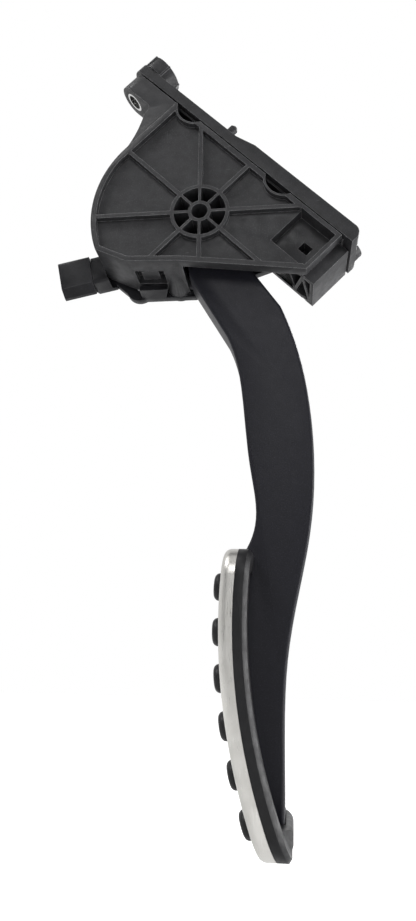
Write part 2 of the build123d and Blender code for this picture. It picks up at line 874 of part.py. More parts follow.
def sensor_cover():
    inside = bowl_radius - bowl_wall
    cover = slab(cover_face(), housing_depth, cover_far)
    cover += depth_rod((0, 0), housing_depth, bowl_far, bowl_radius)
    cover -= depth_rod((0, 0), cover_far, bowl_far, inside)
    cover -= depth_rod((0, 0), bowl_far - gasket_thick, bowl_far, inside + gasket_wide)
    # Far stub, hollow for the sensor
    stub_near = housing_depth - far_stub_length
    cover += depth_rod((0, 0), stub_near, housing_depth, far_stub)
    cover -= depth_rod((0, 0), stub_near + far_stub_wall, cover_far, far_stub - far_stub_wall)
    for place in board_posts:
        cover += depth_rod(place, cover_far, cover_far + board_post, board_post_radius)
    # Connector shroud with its keel, neck and latch
    shroud = plug_block((-plug_tall / 2, -plug_wide / 2, -plug_long),
                        (plug_tall / 2, plug_wide / 2, 0), plug_corner)
    neck = plug_block((neck_low, plug_gap - neck_gap, -plug_long - neck_long),
                      (neck_high, plug_gap + cover_floor, -plug_long), plug_corner)
    neck += plug_plane * block(latch_low, latch_high)
    neck -= depth_rod((0, 0), 0, housing_depth, arc_radius + contact_gap)
    cover += shroud + keel() + neck
    socket_low = (-plug_tall / 2 + plug_wall, -plug_wide / 2 + plug_wall, plug_floor - plug_long)
    socket_high = (plug_tall / 2 - plug_wall, plug_wide / 2 - plug_wall, 0)
    cover -= plug_block(socket_low, socket_high, plug_corner / 2)
    for pin in blades():
        cover -= pin
    cover += skirt()
    for place in screw_boss_places():
        cover -= depth_rod(place, housing_depth, cover_far, screw_radius + press_gap)
    return cover


def cover_screws():
    screws = []
    for place in screw_boss_places():
        screw = depth_rod(place, housing_depth - screw_length + contact_gap, cover_far, screw_radius)
        screw += depth_rod(place, cover_far, cover_far + screw_head_high, screw_head)
        screws.append(screw)
    return together(screws)


def sensor_board():
    near = cover_far + board_post
    board = depth_rod((0, 0), near, near + board_thick, bowl_radius - bowl_wall - board_gap)
    for pin in blades():
        board -= pin
    return board


def hall_chip():
    near = housing_depth - far_stub_length + far_stub_wall + chip_gap / 4
    far = cover_far + board_post
    half = chip_size / 2
    return block((-half, near, -half / 2), (half, far, half / 2))


def lid_gasket():
    inner = bowl_radius - bowl_wall
    return depth_ring(bowl_far - gasket_thick, bowl_far, inner + gasket_wide - fit_gap, inner)


def sensor_lid():
    return depth_rod((0, 0), bowl_far, bowl_far + lid_thick, bowl_radius)


# Pad

def front_face(solid):
    """Face of a pad layer that looks away from the arm."""
    return solid.faces().sort_by(Axis.X)[0]


def back_face(solid):
    """Face of a pad layer that looks towards the arm."""
    return solid.faces().filter_by(GeomType.CYLINDER).sort_by(SortBy.RADIUS)[-2]


def stud_places():
    """Angle about the pad's centre and depth of each stud."""
    first = math.degrees(math.asin((first_stud_z - pad_centre[1]) / pad_front))
    step = math.degrees(stud_pitch / pad_front)
    rows = [first - step * row for row in range(stud_rows)]
    columns = [arm_mid + stud_pitch * (column - (stud_columns - 1) / 2) for column in range(stud_columns)]
    return [(angle, depth) for angle in rows for depth in columns]


def stud(angle, depth, low, high, radius):
    """Round bar square to the pad's face, between two radii."""
    turn = math.radians(angle)
    middle = (low + high) / 2
    place = (pad_centre[0] - middle * math.cos(turn), depth, pad_centre[1] + middle * math.sin(turn))
    direction = (-math.cos(turn), 0, math.sin(turn))
    return Plane(origin=place, z_dir=direction) * Cylinder(radius, high - low)


def pad_cover():
    tray = pad_layer(pad_front, sheet_back, 0)
    tray = fillet(front_face(tray).edges(), sheet_edge)
    hollow = pad_layer(pad_front - sheet, sheet_back - 1, sheet)
    tray -= fillet(front_face(hollow).edges(), sheet_edge - sheet)
    for angle, depth in stud_places():
        tray -= stud(angle, depth, sheet_back, pad_front + 1, stud_radius + stud_gap)
    return tray


def heel():
    """Thick lower end of the pad that holds the arm's tip and narrows towards its back."""
    low = pad_bottom + lip_bevel
    front = sheet_back - fit_gap
    side = make_face(Polyline(
        (pad_arc_x(front, heel_top), heel_top),
        (heel_reach, heel_top),
        (heel_reach, low),
        (pad_arc_x(front, low), low),
        (pad_arc_x(front, heel_top), heel_top),
    ))
    side = fillet(side.vertices().sort_by(Axis.X)[-2:], heel_round)
    root = pad_arc_x(rubber_back, heel_top) - lip_bevel
    plan = make_face(Polyline(
        (0, pad_near + lip_wide),
        (root, pad_near + lip_wide),
        (heel_reach, arm_mid - heel_wide / 2),
        (heel_reach, arm_mid + heel_wide / 2),
        (root, pad_far - lip_wide),
        (0, pad_far - lip_wide),
        (0, pad_near + lip_wide),
    ))
    return slab(side, pad_near, pad_far) & Pos(0, 0, pad_bottom) * extrude(plan, amount=pad_top - pad_bottom)


def pad_rubber():
    face = pad_layer(pad_front - sheet - fit_gap, sheet_back - 1, sheet + fit_gap)
    rubber = fillet(front_face(face).edges(), sheet_edge - sheet)
    rim = pad_layer(sheet_back - fit_gap, rubber_back, 0)
    rubber += chamfer(back_face(rim).edges(), lip_bevel)
    rubber += heel()
    for angle, depth in stud_places():
        bar = stud(angle, depth, carrier_front, pad_front + stud_proud, stud_radius)
        rubber += fillet(bar.edges().sort_by(Axis.X)[:1], stud_edge)
    rubber -= pad_layer(carrier_front + fit_gap, carrier_back - fit_gap, carrier_inset - fit_gap)
    rubber -= pad_layer(carrier_back, rubber_back - arm_far, carrier_inset + lip_wide) - heel()
    notch_end = pad_top - carrier_inset - 2 * lip_wide
    notch_low = (pad_arc_x(carrier_front, pad_top), arm_near - contact_gap, notch_end)
    notch_high = (notch_low[0] + arm_far, arm_far + contact_gap, pad_top + 1)
    rubber -= block(notch_low, notch_high)
    tip_low = (pad_arc_x(carrier_back, heel_top), arm_near - contact_gap, arm_tip - contact_gap)
    tip_high = (arm_back[0][0] + contact_gap, arm_far + contact_gap, heel_top + 1)
    return rubber - block(tip_low, tip_high)


# Write each piece, moved so that zero is at the upper bolt hole

def write_parts():
    pieces = {
        "housing_shell": housing_shell(),
        "mounting_base": mounting_base(),
        "upper_sleeve": sleeve(bolt_along, bolt_depth, lug_end, collar_end),
        "lower_sleeve": sleeve(lower_bolt_along, lower_bolt_depth, lower_boss_out, base_out + base_step),
        "base_screws": base_screws(),
        "pedal_arm": pedal_arm(),
        "near_bush": near_bush(),
        "far_bush": far_bush(),
        "friction_disc": friction_disc(),
        "disc_spring": disc_spring(),
        "outer_spring": coil_spring(outer_spring_mean, outer_spring_wire, outer_spring_turns),
        "inner_spring": coil_spring(inner_spring_mean, inner_spring_wire, inner_spring_turns),
        "spring_cap": spring_cap(),
        "rest_bumper": rest_bumper(),
        "travel_bumper": travel_bumper(),
        "magnets": together(magnet_sectors()),
        "sensor_cover": sensor_cover(),
        "cover_screws": cover_screws(),
        "sensor_board": sensor_board(),
        "hall_chip": hall_chip(),
        "terminals": together(blades()),
        "lid_gasket": lid_gasket(),
        "sensor_lid": sensor_lid(),
        "pad_cover": pad_cover(),
        "pad_rubber": pad_rubber(),
    }
    hole = base_plane.from_local_coords(Vector(bolt_along, bolt_depth, base_out))
    os.makedirs("parts", exist_ok=True)
    for name, piece in pieces.items():
        export_step(Pos(-hole.X, -hole.Y, -hole.Z) * piece, f"parts/{name}.step")
        print(name, round(piece.volume, 1))


write_parts()
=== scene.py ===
# %% [markdown]
# # A hanging accelerator pedal
# The CAD model arrives as a fixed frame of solids. This lesson gives every solid its finish, softens the
# mouldings' edges, gives the springs smooth stand-ins, dresses the screws, and sets the lamps and the
# camera for the picture.

# %% Load the frame
import json
import math

import bmesh
import bpy
from mathutils import Matrix, Vector


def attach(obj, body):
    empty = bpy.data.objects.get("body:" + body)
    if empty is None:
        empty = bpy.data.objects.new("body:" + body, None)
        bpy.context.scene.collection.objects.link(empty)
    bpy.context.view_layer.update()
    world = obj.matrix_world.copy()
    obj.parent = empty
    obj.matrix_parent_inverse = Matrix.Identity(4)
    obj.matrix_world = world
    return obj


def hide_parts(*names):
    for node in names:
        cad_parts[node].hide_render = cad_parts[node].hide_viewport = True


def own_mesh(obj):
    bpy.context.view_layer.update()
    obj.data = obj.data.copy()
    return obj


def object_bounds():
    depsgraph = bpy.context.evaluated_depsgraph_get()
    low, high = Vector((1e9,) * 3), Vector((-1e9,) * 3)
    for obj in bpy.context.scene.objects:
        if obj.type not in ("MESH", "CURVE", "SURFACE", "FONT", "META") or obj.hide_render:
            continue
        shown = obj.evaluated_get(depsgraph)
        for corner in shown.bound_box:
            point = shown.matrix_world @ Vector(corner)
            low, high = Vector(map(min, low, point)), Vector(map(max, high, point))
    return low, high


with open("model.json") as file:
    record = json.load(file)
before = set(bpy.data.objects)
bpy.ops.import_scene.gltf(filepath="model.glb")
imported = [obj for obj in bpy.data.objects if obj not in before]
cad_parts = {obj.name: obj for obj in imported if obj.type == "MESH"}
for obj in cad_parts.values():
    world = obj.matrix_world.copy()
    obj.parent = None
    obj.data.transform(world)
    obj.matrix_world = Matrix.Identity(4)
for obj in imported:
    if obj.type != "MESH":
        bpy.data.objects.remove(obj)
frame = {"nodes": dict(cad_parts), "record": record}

nodes = frame["nodes"]
record = frame["record"]
cad_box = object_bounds()
mm = 0.001
print("nodes", len(nodes), "box", [[round(v, 4) for v in corner] for corner in cad_box])

# %% [markdown]
# ## Materials: small helpers
# Every finish below is a node tree on the piece's own Object coordinates, so a grain stays on the part
# when it moves. The first helpers start a material, add a node, add a noise of a given grain size, and
# lay a value out over a range. Each new material is kept among the finishes under the name of its slot.

# %% Node helpers
finishes = {}
usual_detail = 3.0
noise_roughness = 0.55


def new_material(name):
    """Tree and shader of a new material, which is kept in finishes under that name."""
    material = bpy.data.materials.new(name)
    material.use_nodes = True
    finishes[name] = material
    return material.node_tree, material.node_tree.nodes["Principled BSDF"]


def add_node(tree, kind, **values):
    """Node of that kind, with its properties or input sockets set by name."""
    node = tree.nodes.new(kind)
    for key, value in values.items():
        if hasattr(node, key):
            setattr(node, key, value)
        else:
            node.inputs[key.replace("_", " ")].default_value = value
    return node


def grain(tree, size, detail=usual_detail, stretch=(1, 1, 1)):
    """Noise whose blobs are about that size in metres, stretched along the object's axes."""
    place = add_node(tree, "ShaderNodeTexCoord")
    mapping = add_node(tree, "ShaderNodeMapping")
    mapping.inputs["Scale"].default_value = [1 / (size * s) for s in stretch]
    noise = add_node(tree, "ShaderNodeTexNoise", Scale=1.0, Detail=detail, Roughness=noise_roughness)
    tree.links.new(place.outputs["Object"], mapping.inputs["Vector"])
    tree.links.new(mapping.outputs["Vector"], noise.inputs["Vector"])
    return noise.outputs["Fac"]


def spread(tree, value, low, high, start=0.35, end=0.65):
    """Value between start and end, laid out from low to high."""
    node = add_node(tree, "ShaderNodeMapRange")
    for name, number in (("From Min", start), ("From Max", end), ("To Min", low), ("To Max", high)):
        node.inputs[name].default_value = number
    tree.links.new(value, node.inputs["Value"])
    return node.outputs["Result"]


# %% [markdown]
# ### Mixing and relief
# A colour that changes over the surface is mixed from two others by a noise. A bump turns a height into
# tiny slopes for the light, which suits a grain finer than any mesh.


# %% Mixing helpers
def combine(tree, operation, first, second):
    """Two values of the tree, added, multiplied or compared."""
    node = add_node(tree, "ShaderNodeMath", operation=operation)
    tree.links.new(first, node.inputs[0])
    tree.links.new(second, node.inputs[1])
    return node.outputs["Value"]


def blend_colours(tree, factor, first, second):
    """Colour between two others; each may be a colour or an output of the tree."""
    mix = add_node(tree, "ShaderNodeMix", data_type="RGBA")
    tree.links.new(factor, mix.inputs["Factor"])
    ends = [socket for socket in mix.inputs if socket.type == "RGBA"]
    for socket, colour in zip(ends, (first, second)):
        if isinstance(colour, bpy.types.NodeSocket):
            tree.links.new(colour, socket)
        else:
            socket.default_value = (*colour, 1.0)
    return [socket for socket in mix.outputs if socket.type == "RGBA"][0]


def raise_bump(tree, shader, height, depth):
    """Bump of that depth in metres from a height between 0 and 1."""
    bump = add_node(tree, "ShaderNodeBump", Strength=1.0, Distance=depth)
    tree.links.new(height, bump.inputs["Height"])
    tree.links.new(bump.outputs["Normal"], shader.inputs["Normal"])


# %% [markdown]
# ## Glass-filled plastic
# The housing, base and cover are black nylon with short glass fibres. Such a moulding is never one flat
# grey: the fibres leave a fine mottle, the tool leaves a spark-eroded grain, handling leaves faint
# scuffs, and edges turn pale with wear. The pale edges are also a painted highlight, in place of the light
# that rounded edges catch. A picture could be laid on it, but noises of different sizes give the same
# and follow any shape.

# %% [markdown]
# ### Wear and painted edge highlights
# The Bevel node gives the normal that a rounded edge would have. Where it differs from the face's own
# normal, there is an edge, and that makes a mask of the edges from the mesh alone. Through it the edges
# take a pale colour that is partly wear and partly a painted highlight. Scuffs are a noise drawn out to
# lines.

# %% Wear and painted edge highlights
sharp_turn, flat_turn = 0.82, 0.985
bevel_samples = 6
scuff_width = 0.30 * mm
scuff_runs = ((1, 1, 34), (18, 1, 5))
scuff_start, scuff_full = 0.72, 0.82


# Mask of the edges, which get pale wear and a painted highlight.
def worn_and_highlit_edges(tree, radius):
    """About 1 within that radius of a sharp edge, and 0 on flat faces."""
    bevel = add_node(tree, "ShaderNodeBevel", samples=bevel_samples, Radius=radius)
    face = add_node(tree, "ShaderNodeNewGeometry")
    turn = add_node(tree, "ShaderNodeVectorMath", operation="DOT_PRODUCT")
    tree.links.new(bevel.outputs["Normal"], turn.inputs[0])
    tree.links.new(face.outputs["Normal"], turn.inputs[1])
    return spread(tree, turn.outputs["Value"], 1.0, 0.0, sharp_turn, flat_turn)


def scuffs(tree, share):
    """Thin scattered lines in two directions, up to that share."""
    lines = []
    for stretch in scuff_runs:
        line = grain(tree, scuff_width, 1.0, stretch)
        lines.append(spread(tree, line, 0.0, share, scuff_start, scuff_full))
    return combine(tree, "MAXIMUM", *lines)


# %% [markdown]
# ### The mouldings
# One function makes all the filled plastics, because they differ only in tone, gloss and grain. The arm
# is more even than the housing and has hardly a scuff, so its patches are faint.

# %% Plastics
fine_detail = 2.0
mottle_size = 5 * mm
mottle_detail = 5.0
fibre_size = 0.5 * mm
fibre_share = 0.30
fibre_start, fibre_full = 0.55, 0.75
wear_and_highlight_reach = 0.45 * mm
wear_and_highlight_patch = 2.5 * mm
least_wear_and_highlight = 0.45
gloss_patch = 4 * mm
glossier, duller = 0.06, 0.08


# edge is the pale colour of scuffs and edges; on the edges it is partly wear and partly a painted
# highlight.
def moulded_plastic(name, dark, light, edge, rough, shine, grain_size, grain_depth,
                    scuffed=0.2, specks=3.2, patchy=1.0):
    """Filled plastic with a mottle, fibre specks, scuffs, a tool grain, and paler edges that are partly
    wear and partly a painted highlight.

    The fibres are as many times paler as specks says; patchy is how much tone and gloss vary, from 0 to 1.
    """
    tree, shader = new_material(name)
    mottle = spread(tree, grain(tree, mottle_size, mottle_detail), 0.5 - 0.5 * patchy, 0.5 + 0.5 * patchy)
    body = blend_colours(tree, mottle, dark, light)
    fibres = spread(tree, grain(tree, fibre_size, fine_detail), 0.0, fibre_share, fibre_start, fibre_full)
    body = blend_colours(tree, fibres, body, [specks * v for v in light])
    body = blend_colours(tree, scuffs(tree, scuffed), body, edge)
    patches = spread(tree, grain(tree, wear_and_highlight_patch), least_wear_and_highlight, 1.0)
    # Edges take the pale colour: partly wear, partly a painted highlight for the light that rounded edges
    # catch.
    edge_wear_and_highlight = combine(tree, "MULTIPLY", worn_and_highlit_edges(tree, wear_and_highlight_reach), patches)
    body = blend_colours(tree, edge_wear_and_highlight, body, edge)
    tree.links.new(body, shader.inputs["Base Color"])
    gloss = spread(tree, grain(tree, gloss_patch), rough - glossier * patchy, rough + duller * patchy)
    tree.links.new(gloss, shader.inputs["Roughness"])
    shader.inputs["Specular IOR Level"].default_value = shine
    raise_bump(tree, shader, grain(tree, grain_size, fine_detail), grain_depth)


# The third colour of each is the pale of scuffs and edges; on the edges it is partly wear and partly a
# painted highlight.
moulded_plastic("housing_plastic", (0.020, 0.020, 0.0215), (0.029, 0.029, 0.031), (0.24, 0.24, 0.246),
                rough=0.46, shine=0.22, grain_size=0.45 * mm, grain_depth=0.05 * mm)
moulded_plastic("base_plastic", (0.017, 0.017, 0.018), (0.025, 0.025, 0.027), (0.19, 0.19, 0.196),
                rough=0.48, shine=0.20, grain_size=0.45 * mm, grain_depth=0.05 * mm)
moulded_plastic("cover_plastic", (0.0085, 0.0085, 0.010), (0.013, 0.013, 0.015), (0.09, 0.09, 0.095),
                rough=0.44, shine=0.18, grain_size=0.35 * mm, grain_depth=0.03 * mm)
moulded_plastic("arm_plastic", (0.0078, 0.0078, 0.0108), (0.0102, 0.0102, 0.0142), (0.06, 0.06, 0.066),
                rough=0.44, shine=0.165, grain_size=0.50 * mm, grain_depth=0.040 * mm,
                scuffed=0.05, specks=4.5, patchy=0.3)
moulded_plastic("friction_plastic", (0.16, 0.12, 0.08), (0.26, 0.20, 0.14), (0.30, 0.25, 0.18),
                rough=0.6, shine=0.3, grain_size=0.4 * mm, grain_depth=0.02 * mm)
moulded_plastic("chip_plastic", (0.016, 0.016, 0.017), (0.024, 0.024, 0.025), (0.05, 0.05, 0.05),
                rough=0.55, shine=0.3, grain_size=0.15 * mm, grain_depth=0.01 * mm)
print("plastics made:", len(finishes))

# %% [markdown]
# ## Steel
# The pad's cover is satin stainless sheet. Its finish comes from a belt that runs along the pad, so the
# scratches are long and fine in that direction. A noise squeezed across and stretched along gives them,
# in the roughness and as a shallow bump. The zinc-plated screws, drawn sleeves and springs have no clear
# direction.

# %% Metals
cloud_size = 9 * mm
smoother, rougher = 0.05, 0.09


def metal(name, first, second, rough, grain_size, depth=0.006 * mm, stretch=(1, 1, 1)):
    """Bare metal whose grain runs along the largest stretch."""
    tree, shader = new_material(name)
    shader.inputs["Metallic"].default_value = 1.0
    lines = grain(tree, grain_size, fine_detail, stretch)
    cloud = spread(tree, grain(tree, cloud_size), 0.0, 1.0)
    tree.links.new(blend_colours(tree, cloud, first, second), shader.inputs["Base Color"])
    tree.links.new(spread(tree, lines, rough - smoother, rough + rougher), shader.inputs["Roughness"])
    raise_bump(tree, shader, lines, depth)


metal("pad_steel", (0.54, 0.53, 0.505), (0.61, 0.60, 0.575), rough=0.32, grain_size=0.25 * mm,
      stretch=(1, 1, 30))
metal("sleeve_steel", (0.58, 0.58, 0.58), (0.70, 0.70, 0.69), rough=0.25, grain_size=0.4 * mm)
metal("screw_steel", (0.46, 0.47, 0.50), (0.58, 0.58, 0.57), rough=0.33, grain_size=0.3 * mm)
metal("spring_steel", (0.25, 0.25, 0.27), (0.36, 0.35, 0.34), rough=0.35, grain_size=0.5 * mm)
metal("terminal_brass", (0.62, 0.50, 0.28), (0.74, 0.62, 0.36), rough=0.28, grain_size=0.3 * mm,
      depth=0.004 * mm, stretch=(6, 1, 1))
print("plastics and metals made:", len(finishes))

# %% [markdown]
# ## Rubber
# The pad's rubber is dull and slightly dusty where feet don't rub it. The dust is a paler film in loose
# patches, and a fine skin of bumps breaks up the shine.

# %% Rubber
film_patch = 5 * mm
film_detail = 4.0
film_share = 0.6
film_start, film_full = 0.42, 0.72
skin_grain = 0.25 * mm
skin_depth = 0.02 * mm
rubber_gloss_patch = 3 * mm
rubber_rough = (0.40, 0.54)
rubber_shine = 0.26


def rubber(name, dark, dust):
    """Dull black rubber with a fine skin and a little dust."""
    tree, shader = new_material(name)
    film = spread(tree, grain(tree, film_patch, film_detail), 0.0, film_share, film_start, film_full)
    tree.links.new(blend_colours(tree, film, dark, dust), shader.inputs["Base Color"])
    tree.links.new(spread(tree, grain(tree, rubber_gloss_patch), *rubber_rough), shader.inputs["Roughness"])
    shader.inputs["Specular IOR Level"].default_value = rubber_shine
    raise_bump(tree, shader, grain(tree, skin_grain), skin_depth)


rubber("pad_rubber", (0.006, 0.006, 0.007), (0.012, 0.012, 0.013))
rubber("bumper_rubber", (0.016, 0.016, 0.016), (0.03, 0.03, 0.03))
rubber("gasket_rubber", (0.012, 0.012, 0.013), (0.02, 0.02, 0.02))
print("with rubbers:", len(finishes))

# %% [markdown]
# ## Inner materials
# The inner pieces show only when the pedal is taken apart or looked into. Each still gets the grain of
# its own process. The bushes and the spring cap are acetal, a slippery plastic, and have flow marks from
# moulding.

# %% Acetal
flow_size = 3 * mm
flow_stretch = (1, 3, 1)
acetal_gloss_patch = 2 * mm
acetal_rough = (0.28, 0.4)
acetal_grain = 0.4 * mm
acetal_depth = 0.006 * mm


def acetal(name, pale, deep):
    """Slippery off-white bearing plastic with faint flow marks."""
    tree, shader = new_material(name)
    flow = spread(tree, grain(tree, flow_size, stretch=flow_stretch), 0.0, 1.0)
    gloss = spread(tree, grain(tree, acetal_gloss_patch, fine_detail), *acetal_rough)
    tree.links.new(blend_colours(tree, flow, pale, deep), shader.inputs["Base Color"])
    tree.links.new(gloss, shader.inputs["Roughness"])
    raise_bump(tree, shader, grain(tree, acetal_grain, fine_detail), acetal_depth)


acetal("bush_plastic", (0.72, 0.70, 0.62), (0.64, 0.61, 0.52))
acetal("cap_plastic", (0.76, 0.74, 0.67), (0.68, 0.65, 0.57))
print("with acetals:", len(finishes))

# %% [markdown]
# ### Magnets and board
# Ferrite is a fired powder with tiny pits; the colour is darker and the surface rougher where the bump is
# low. The board is green lacquer over woven glass, and a checker at the size of the threads is weave
# enough for something so small.

# %% Ferrite and laminate
pit_size = 0.3 * mm
pit_detail = 4.0
pit_depth = 0.03 * mm
pit_rough, skin_rough = 0.62, 0.5
thread_width = 0.5 * mm
thread_share = 0.3
lacquer_patch = 2 * mm
lacquer_rough = (0.25, 0.38)


def sintered(name, dark, light):
    """Pressed and fired powder with tiny pits."""
    tree, shader = new_material(name)
    pits = spread(tree, grain(tree, pit_size, pit_detail), 0.0, 1.0)
    # The colour darkens where the bump is low, in the pits.
    tree.links.new(blend_colours(tree, pits, dark, light), shader.inputs["Base Color"])
    tree.links.new(spread(tree, pits, pit_rough, skin_rough, 0.0, 1.0), shader.inputs["Roughness"])
    raise_bump(tree, shader, pits, pit_depth)


def laminate(name, mask, glass):
    """Circuit board: green lacquer over a woven glass core."""
    tree, shader = new_material(name)
    place = add_node(tree, "ShaderNodeTexCoord")
    weave = add_node(tree, "ShaderNodeTexChecker", Scale=1 / thread_width)
    tree.links.new(place.outputs["Object"], weave.inputs["Vector"])
    threads = spread(tree, weave.outputs["Fac"], 0.0, thread_share, 0.0, 1.0)
    tree.links.new(blend_colours(tree, threads, mask, glass), shader.inputs["Base Color"])
    tree.links.new(spread(tree, grain(tree, lacquer_patch), *lacquer_rough), shader.inputs["Roughness"])


sintered("magnet_ferrite", (0.05, 0.05, 0.055), (0.11, 0.11, 0.115))
laminate("board_laminate", (0.02, 0.12, 0.05), (0.05, 0.19, 0.09))
print("finishes", len(finishes))

# %% [markdown]
# ## Finish on every CAD node
# The record names a material slot for each node. Every node takes that slot's finish, whether it shows at
# first sight or only from below or behind.

# %% Finish the nodes
slot_of_node = {part["node"]: part["material_slot"] for part in record["subparts"]}
for name, obj in nodes.items():
    obj.data.materials.clear()
    obj.data.materials.append(finishes[slot_of_node[name]])
print("finished", len(nodes), "nodes")

# %% [markdown]
# ## The land under the base
# A thin land under the base seats on the housing. The solid's land is a plain rectangle, and behind the
# bolt lug its corner would stand past the flange as a thin plate. A moulder lets the land follow the
# flange's edge, so the copy of the base is cut along that edge. Bisecting the mesh is enough, because the
# cut is one flat face.

# %% Trim the land
base_along = Vector((1, 0, -1)).normalized()
base_out = Vector((1, 0, 1)).normalized()
flange_thick = 4.5 * mm
flange_edge_start = (-4.5 * mm, 7.794 * mm)
flange_edge_end = (25.2 * mm, 19.0 * mm)
merge_gap = 0.002 * mm
under_slack = 0.05 * mm
edge_slack = 0.01 * mm
print("flange edge", round(math.dist(flange_edge_start, flange_edge_end) / mm, 1), "mm long")


def on_base(along, depth):
    """Point of the base's outer face, measured from the upper bolt hole."""
    return base_along * along + Vector((0, depth, 0))


def trim_land(shape):
    """Cut off the land where it stands past the flange's slanting edge."""
    start = on_base(*flange_edge_start)
    outward = base_out.cross(on_base(*flange_edge_end) - start).normalized()
    if outward.y < 0:
        outward.negate()
    everything = shape.verts[:] + shape.edges[:] + shape.faces[:]
    bmesh.ops.bisect_plane(shape, geom=everything, dist=merge_gap, plane_co=start, plane_no=outward)
    beyond = []
    for face in shape.faces:
        spot = face.calc_center_median()
        under_flange = spot.dot(base_out) < under_slack - flange_thick
        beside_edge = spot.dot(base_along) < flange_edge_end[0]
        if under_flange and beside_edge and (spot - start).dot(outward) > edge_slack:
            beyond.append(face)
    bmesh.ops.delete(shape, geom=beyond, context="FACES")
    bmesh.ops.edgeloop_fill(shape, edges=[edge for edge in shape.edges if edge.is_boundary])
    bmesh.ops.recalc_face_normals(shape, faces=shape.faces)
    still_open = [edge for edge in shape.edges if not edge.is_manifold]
    print("land trimmed:", len(beyond), "faces off,", len(still_open), "open edges")


# %% [markdown]
# ## Stand-ins
# A CAD node's mesh is never changed. A piece that needs another shape is a copy of the node's triangles,
# merged into clean faces, which hides the node and rides with the same body.

# %% Stand-in of a node
body_of_node = {node: body for body, names in record["behaviour"]["bodies"].items() for node in names}
flat_turn_limit = math.radians(0.6)


def new_object(name, data):
    """Object in the scene, at the origin."""
    obj = bpy.data.objects.new(name, data)
    bpy.context.scene.collection.objects.link(obj)
    return obj


def stand_in(node, ending, trim=None):
    """Merged and smooth copy of a CAD node, which stands for the node and rides with its body."""
    mesh = nodes[node].data.copy()
    shape = bmesh.new()
    shape.from_mesh(mesh)
    bmesh.ops.remove_doubles(shape, verts=shape.verts, dist=merge_gap)
    if trim:
        trim(shape)
    bmesh.ops.dissolve_limit(shape, angle_limit=flat_turn_limit, verts=shape.verts, edges=shape.edges)
    for face in shape.faces:
        face.smooth = True
    shape.to_mesh(mesh)
    shape.free()
    piece = new_object(f"{node}_{ending}", mesh)
    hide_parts(node)
    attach(piece, body_of_node[node])
    return piece


# %% [markdown]
# ## Softened edges on the mouldings
# A moulding tool can't cut a perfectly sharp edge, and the photograph's rims and ribs shine because each
# edge is a tiny radius that catches the light. The CAD solids keep sharp edges. Each large moulding gets
# a stand-in with a Bevel modifier, which rounds only the edges sharper than a set angle.

# %% Softened copies
edge_segments = 2
sharp_edge = math.radians(34)


def softened(node, radius, trim=None):
    """Stand-in whose sharp edges are rounded."""
    piece = stand_in(node, "moulded", trim)
    bevel = piece.modifiers.new("edge radius", "BEVEL")
    bevel.width = radius
    bevel.segments = edge_segments
    bevel.limit_method = "ANGLE"
    bevel.angle_limit = sharp_edge
    bevel.harden_normals = True
    bevel.miter_outer = "MITER_ARC"
    print(piece.name, len(piece.data.polygons), "faces before rounding")


softened("housing_shell", 0.30 * mm)
softened("mounting_base", 0.40 * mm, trim_land)
softened("sensor_cover", 0.30 * mm)
softened("sensor_lid", 0.35 * mm)
softened("pedal_arm", 0.30 * mm)
softened("pad_rubber", 0.35 * mm)

# %% [markdown]
# ## Return springs
# Two springs, one inside the other, stand in the housing and push the pedal back. They shorten when the
# cap comes down on them, which a rigid node can't do. Each gets a stand-in, a merged copy of its wire that
# is shaded smooth, with sharp edges above a set angle. The springs are found among the record's joints.

# %% Spring stand-ins
wire_edge = math.radians(40)


def sprung(node):
    """Smooth stand-in of a spring."""
    piece = stand_in(node, "wound")
    piece.data.set_sharp_from_angle(angle=wire_edge)
    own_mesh(piece)


for joint in record["behaviour"]["joints"]:
    for spring in joint.get("deforming_nodes", []):
        sprung(spring["node"])

# %% [markdown]
# ## Sealed connector root
# The terminals' legs pass from the cover's neck into the shroud at a step. A bead of sealing compound in
# that step keeps water off them. It is a short bar with a slanting front, placed from the connector's
# mount in the record, and a Bevel modifier gives it the soft look of something squeezed out.

# %% Place of the bead
connector = [mount for mount in record["mounts"] if mount["name"] == "connector"][0]
plug_mouth = Vector(connector["pos_m"])
plug_axis = Vector(connector["axis"]).normalized()
plug_tall = Vector((0, 1, 0)).cross(plug_axis)
shroud_long = 14.6 * mm
bead_from, bead_to = -5.2 * mm, 4.7 * mm
bead_foot, bead_top = 5.2 * mm, 9.05 * mm
bead_root = -0.1 * mm
bead_foot_long, bead_top_long = 1.7 * mm, 0.45 * mm
bead_outline = [(bead_foot, bead_root), (bead_top, bead_root), (bead_top, bead_top_long),
                (bead_foot, bead_foot_long)]
bead_corners = []
for across in (bead_from, bead_to):
    for depth, reach in bead_outline:
        corner = plug_mouth + plug_tall * across + Vector((0, depth, 0))
        bead_corners.append(corner + plug_axis * (reach - shroud_long))
print("seal bead", round((bead_to - bead_from) / mm, 1), "mm long")

# %% [markdown]
# ### The bead
# Its eight corners are joined by six faces. Recalculating the normals makes all of them point outwards,
# whichever way round the corners were written.

# %% Seal bead
bead_radius = 0.2 * mm
bead_segments = 3
bead_sides = [(i, (i + 1) % 4, (i + 1) % 4 + 4, i + 4) for i in range(4)]
bead_mesh = bpy.data.meshes.new("connector_seal")
bead_mesh.from_pydata(bead_corners, [], [(3, 2, 1, 0), (4, 5, 6, 7), *bead_sides])
bead_shape = bmesh.new()
bead_shape.from_mesh(bead_mesh)
bmesh.ops.recalc_face_normals(bead_shape, faces=bead_shape.faces)
bead_shape.to_mesh(bead_mesh)
bead_shape.free()
bead_mesh.materials.append(finishes["gasket_rubber"])
bead = new_object("connector_seal", bead_mesh)
bead_bevel = bead.modifiers.new("soft edges", "BEVEL")
bead_bevel.width = bead_radius
bead_bevel.segments = bead_segments
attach(bead, body_of_node["sensor_cover"])
print(bead.name, len(bead_mesh.polygons), "faces before rounding")

